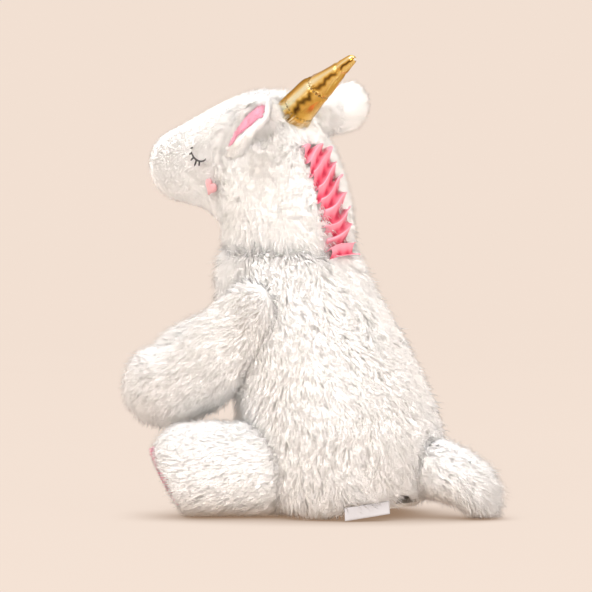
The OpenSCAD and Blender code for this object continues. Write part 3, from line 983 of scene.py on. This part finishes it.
def make_ear(side):
    """An ear with pile on its back and over its rim, and a short pink nap inside. The left one's edges roll
    back to show the nap, and the right one is cupped."""
    body = f"{side}_ear"
    joint = JOINTS[f"{side}_ear_flop"]
    root = np.array(joint["pos_m"])
    low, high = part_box(f"{body}_back")
    facing = coords(NODES[f"{body}_lining"]).mean(0) - coords(NODES[f"{body}_back"]).mean(0)
    axis = unit(np.array(joint["axis"]))
    facing = axis * np.sign(facing @ axis)
    shape = coords(NODES[f"{body}_back"])
    way = shape.mean(0) - root
    way = unit(way - (way @ facing) * facing)
    across = np.cross(facing, way)
    reach = ((shape - root) @ way).max()
    half = np.abs((shape - root) @ across).max()

    shorter = 1.0 if side == "left" else 0.83

    def cup(points, depth):
        """Bends the blade's edges about its long axis, towards its lining where depth is above 0."""
        off = points - root
        along, wide, thick = off @ way, off @ across, off @ facing
        t = np.clip(along / reach, 0, 1)
        curl = depth * np.sin(math.pi * np.clip(0.15 + 0.75 * t, 0, 1))
        bend = curl * (wide / half) ** 2
        wide = wide * (1 - 0.18 * abs(curl) / (8 * MM) * (np.abs(wide) / half))
        return root + np.outer(along * shorter, way) + np.outer(wide, across) + np.outer(thick + bend, facing)

    back = copy_of(f"{body}_back")
    back.name = f"{body}_skin"
    back.data.materials.clear()
    back.data.materials.append(BACKING)
    m = back.modifiers.new("Remesh", "REMESH")
    m.mode = "VOXEL"
    m.voxel_size = 2 * MM
    apply_modifiers(back)
    smooth = back.modifiers.new("Smooth", "SMOOTH")
    smooth.iterations = 4
    apply_modifiers(back)
    co = coords(back)
    off = co - root
    thick = off @ facing
    co = co - np.outer(thick * 0.35, facing)
    set_coords(back, cup(co, (-5 if side == "left" else 6.5) * MM))
    back.data.shade_smooth()
    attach(back, body)
    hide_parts(f"{body}_back")

    lining_half = half * 0.95

    def inside(points, normals):
        off = points - root
        along, wide = off @ way, off @ across
        t = np.clip((along - 0.05 * reach) / (0.88 * reach), 0, 1)
        limit = lining_half * np.sqrt(np.clip(1 - (2 * t - 1) ** 2, 0, 1)) ** 0.6
        facing_in = normals @ facing > 0.02
        return facing_in & (t > 0) & (t < 1) & (np.abs(wide) < limit)

    fur(f"{body}_fur", back, body, 12000, 7.5 * MM, toward(way), 51 if side == "left" else 52,
        keep=lambda p, n: ~inside(p, n) & (n @ facing < 0.3), swirl=0.7, width=0.55 * MM, lean=66)
    # the lining: the part of the blade's own surface that lies inside the pile, raised a little
    src = back.data
    normals = np.empty(len(src.vertices) * 3, np.float32)
    src.vertex_normals.foreach_get("vector", normals)
    normals = normals.reshape(-1, 3)
    points = coords(back)
    chosen = inside(points, normals)
    used = [p for p in src.polygons if all(chosen[v] for v in p.vertices)]
    index = {v: k for k, v in enumerate(sorted({v for p in used for v in p.vertices}))}
    raised = [points[v] + normals[v] * 0.9 * MM for v in sorted(index)]
    faces = [[index[v] for v in p.vertices] for p in used]
    lining = mesh_object(f"{body}_lining_cloth", raised, faces, PINK_BACKING)
    thicken(lining, 1.0 * MM, offset=-1, subdivide=True)
    lining.data.shade_smooth()
    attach(lining, body)
    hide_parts(f"{body}_lining")
    fur(f"{body}_nap", lining, body, 5200, 3 * MM, toward(way), 61 if side == "left" else 62,
        keep=lambda p, n: n @ facing > 0.2, swirl=0.3, width=0.4 * MM, lean=58,
        material=PINK_NAP)


# ---------------------------------------------------------------- soles and label


def make_sole(side):
    """A short-napped disc on the end of the foot."""
    body = f"{side}_leg"
    node = f"{side}_sole"
    shape = coords(NODES[node])
    centre = shape.mean(0)
    facing = flat_axes(shape)[2]
    facing *= np.sign(facing @ limb_way(body))
    rise = unit(UP - (UP @ facing) * facing)
    wide = np.cross(rise, facing)
    half_w = np.abs((shape - centre) @ wide).max() - 1.5 * MM
    half_h = np.abs((shape - centre) @ rise).max() - 1.0 * MM
    points, n = [], 64
    for share, lift in ((1.0, -1.4), (1.0, -0.2), (0.94, 0.9), (0.75, 1.8), (0.5, 2.3), (0.25, 2.5)):
        for a in np.linspace(0, 2 * math.pi, n, endpoint=False):
            points.append(centre + wide * half_w * share * math.cos(a) + rise * half_h * share * math.sin(a)
                          + facing * lift * MM)
    sole = mesh_object(f"{side}_sole_disc", points, ring_faces(len(points) // n, n), PINK_BACKING)
    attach(sole, body)
    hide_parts(node)
    fur(f"{side}_sole_nap", sole, body, 7000, 2.6 * MM, toward(-rise), 71 if side == "left" else 72,
        keep=lambda p, nn: nn @ facing > 0.3, swirl=0.3, width=0.4 * MM, lean=50,
        material=PINK_NAP)


def make_label():
    """A woven tape in the seam, with nothing printed on it."""
    shape = coords(NODES["side_label"])
    centre = shape.mean(0)
    long, tall, out = flat_axes(shape)
    tall = tall * np.sign(tall[2])
    out = out * np.sign(out[:2] @ centre[:2])
    # it lies askew, higher towards the tail
    slope = 0.13 * np.sign(long[1])
    shift = np.array([0, -2.8 * MM, 0])
    half_l = np.abs((shape - centre) @ long).max()
    half_h = np.abs((shape - centre) @ tall).max()
    verts, cols, rows = [], 25, 9
    for i in range(rows):
        for j in range(cols):
            u, v = 2 * j / (cols - 1) - 1, 2 * i / (rows - 1) - 1
            free = (1 - v) * 0.5
            curl = 1.2 * MM * free * (0.5 + 0.5 * u) ** 2 + 0.5 * MM * math.sin(3 * u) * free
            rise = 2.0 * MM + slope * half_l * u
            flat = centre + shift + long * half_l * u + tall * half_h * v * 0.9
            verts.append(flat + UP * rise + out * (curl + 0.6 * MM))
    label = mesh_object("seam_label_tape", verts, grid_faces(rows, cols), TAPE)
    thicken(label, 0.6 * MM)
    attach(label, "torso")
    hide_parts("side_label")


# ---------------------------------------------------------------- CAD nodes that stay


def dress_cad_nodes():
    inner = {"neck_thread": WHITE_THREAD, "pellet_pouch": POUCH}
    for name, node in NODES.items():
        material = inner.get(name)
        if name.endswith("stuffing"):
            material = FIBRE
        if material:
            node.data.materials.clear()
            node.data.materials.append(material)


# ---------------------------------------------------------------- floor, light and camera

VIEW_TURN = math.radians(113)
VIEW_RISE = math.radians(2)


def make_stage():
    """A pale seamless floor that curves up all round, far outside the view."""
    s = Shader("backdrop", Roughness=0.95)
    s.bsdf.inputs["Specular IOR Level"].default_value = 0.0
    tone = s.noise(3.0, 2.0)
    s.link(s.ramp(tone, "Fac", [(0.3, (0.032, 0.030, 0.028)), (0.7, (0.035, 0.032, 0.030))]), "Color",
           s.bsdf, "Base Color")
    # the backdrop glows evenly, with a painted contact shadow: an ambient occlusion node darkens the glow
    # close to what stands on it
    near = s.node("ShaderNodeAmbientOcclusion", Distance=0.07)
    s.link(s.ramp(near, "AO", [(0.0, (0.30, 0.19, 0.12)), (0.85, (0.896, 0.752, 0.651))]), "Color",
           s.bsdf, "Emission Color")
    s.bsdf.inputs["Emission Strength"].default_value = 0.955
    profile = [(0.0, 0.0), (1.0, 0.0), (2.0, 0.0), (3.0, 0.0)]
    for a in np.linspace(0, math.pi / 2, 12)[1:]:
        profile.append((3.0 + 2.0 * math.sin(a), 2.0 - 2.0 * math.cos(a)))
    profile.append((5.0, 5.0))
    n = 64
    verts = [(r * math.cos(2 * math.pi * k / n), r * math.sin(2 * math.pi * k / n), z)
             for r, z in profile[1:] for k in range(n)]
    faces = [(i * n + k, (i + 1) * n + k, (i + 1) * n + (k + 1) % n, i * n + (k + 1) % n)
             for i in range(len(profile) - 2) for k in range(n)]
    faces.append(list(range(n)))
    floor = mesh_object("floor", verts, faces, s.material)


def area_light(name, place, aim, size, power, colour=(1, 1, 1)):
    data = bpy.data.lights.new(name, "AREA")
    data.shape = "DISK"
    data.size = size
    data.energy = power
    data.color = colour
    obj = bpy.data.objects.new(name, data)
    obj.location = place
    obj.rotation_euler = (Vector(aim) - Vector(place)).to_track_quat("-Z", "Y").to_euler()
    bpy.context.scene.collection.objects.link(obj)


def make_lights_and_camera():
    right = np.array([math.cos(VIEW_TURN), math.sin(VIEW_TURN), 0])
    back = np.array([math.sin(VIEW_TURN) * math.cos(VIEW_RISE), -math.cos(VIEW_TURN) * math.cos(VIEW_RISE),
                     math.sin(VIEW_RISE)])
    middle = np.array([0, 0, 0.155])
    key = middle + back * 1.7 - right * 1.3 + UP * 1.4
    area_light("key", key, middle, 1.4, 32, (1.0, 0.99, 0.98))
    area_light("top", middle + UP * 2.4, middle, 2.2, 23)
    area_light("fill", middle + back * 1.6 + right * 1.7 + UP * 0.5, middle, 1.8, 18, (0.97, 0.98, 1.0))
    world = bpy.data.worlds.new("studio")
    world.use_nodes = True
    world.node_tree.nodes["Background"].inputs["Color"].default_value = (1.0, 0.985, 0.975, 1)
    world.node_tree.nodes["Background"].inputs["Strength"].default_value = 0.82
    bpy.context.scene.world = world
    bpy.context.scene.view_settings.view_transform = "Standard"

    distance, view_width = 2.6, 0.4144
    aim = right * -0.0323 + UP * 0.1526
    camera = bpy.data.cameras.new("camera")
    camera.sensor_width = 36
    camera.lens = 36 * distance / view_width
    obj = bpy.data.objects.new("camera", camera)
    obj.location = aim + back * distance
    obj.rotation_euler = Vector(back).to_track_quat("Z", "Y").to_euler()
    bpy.context.scene.collection.objects.link(obj)
    bpy.context.scene.camera = obj


# ---------------------------------------------------------------- all together

make_torso()
for toy_side in ("left", "right"):
    make_limb(toy_side, "arm")
    make_limb(toy_side, "leg")
    make_sole(toy_side)
    make_ear(toy_side)
make_tail()
head = make_head_skin()
head_tree = bvh(head)
mane_path, mane_out = mane_line(head_tree)
make_head_fur(head, mane_path)
for toy_side in ("left", "right"):
    make_eye(toy_side, head_tree)
    make_cheek(toy_side, head_tree)
make_mane(mane_path, mane_out)
make_horn()
make_label()
dress_cad_nodes()
make_stage()
make_lights_and_camera()
